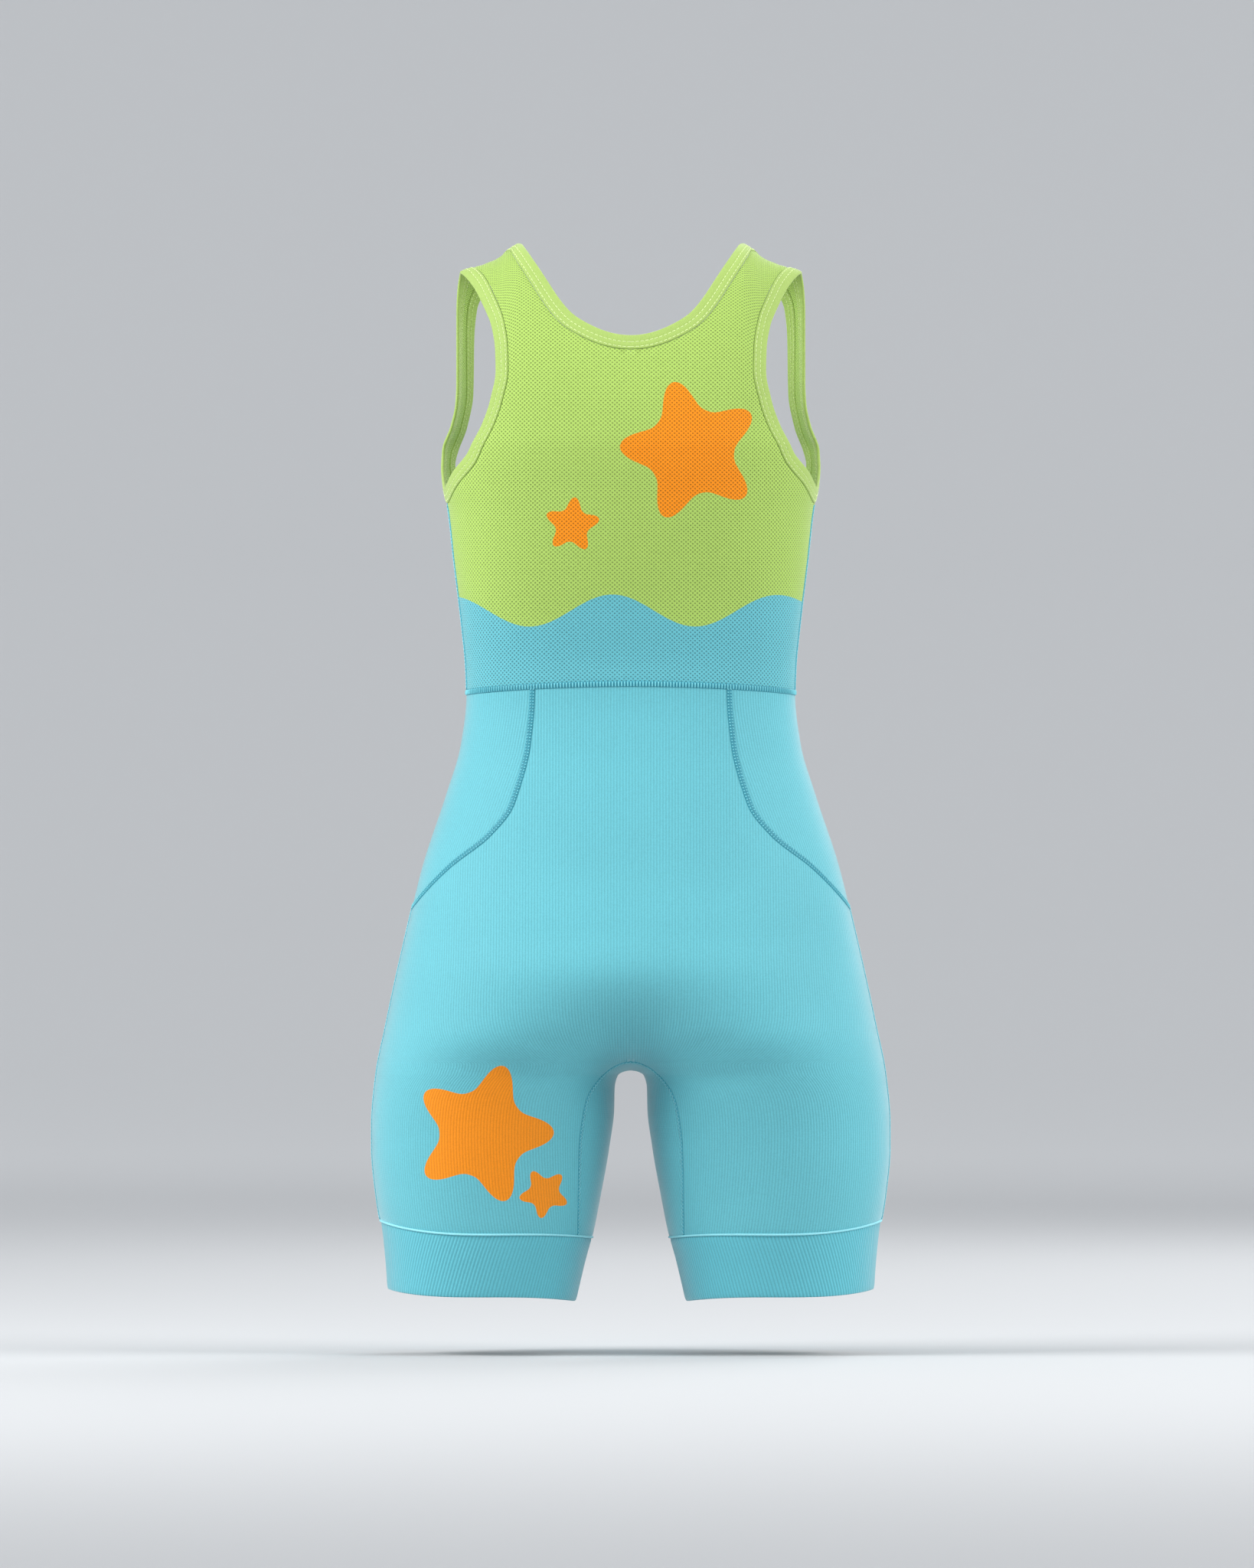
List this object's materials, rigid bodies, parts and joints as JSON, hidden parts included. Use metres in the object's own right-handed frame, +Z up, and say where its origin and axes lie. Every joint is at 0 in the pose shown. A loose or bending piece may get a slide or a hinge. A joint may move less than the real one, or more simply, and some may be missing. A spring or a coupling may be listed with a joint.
{
  "type": "wrestling singlet",
  "caption": "Sleeveless one-piece wrestling singlet, filled out as worn: mesh bodice with bound scoop neck and armholes, shaped side panels, gusset and mid-thigh legs with rib cuffs.",
  "frame": {"origin": "middle of the shoulder line, level with the highest point of the straps", "axes": "+Z up the body, -Y the back, +Y the front, +X the wearer's right"},
  "size_m": [0.408, 0.232, 0.8341],
  "materials": {
    "mesh_lime": "lime mesh knit, matt with a soft sheen",
    "mesh_aqua": "aqua mesh knit, matt with a soft sheen",
    "binding": "lime stretch binding, stitched twice",
    "compression_knit": "aqua compression knit, satin",
    "rib_knit": "aqua fine rib knit, matt"
  },
  "bodies": {
    "root": {"back_bodice": "mesh_lime", "front_bodice": "mesh_aqua", "neck_binding": "binding", "armhole_binding_right": "binding", "armhole_binding_left": "binding", "back_lower": "compression_knit", "front_lower": "compression_knit", "side_panel_right": "compression_knit", "side_panel_left": "compression_knit", "gusset": "compression_knit", "leg_cuff_right": "rib_knit", "leg_cuff_left": "rib_knit"}
  },
  "joints": []
}
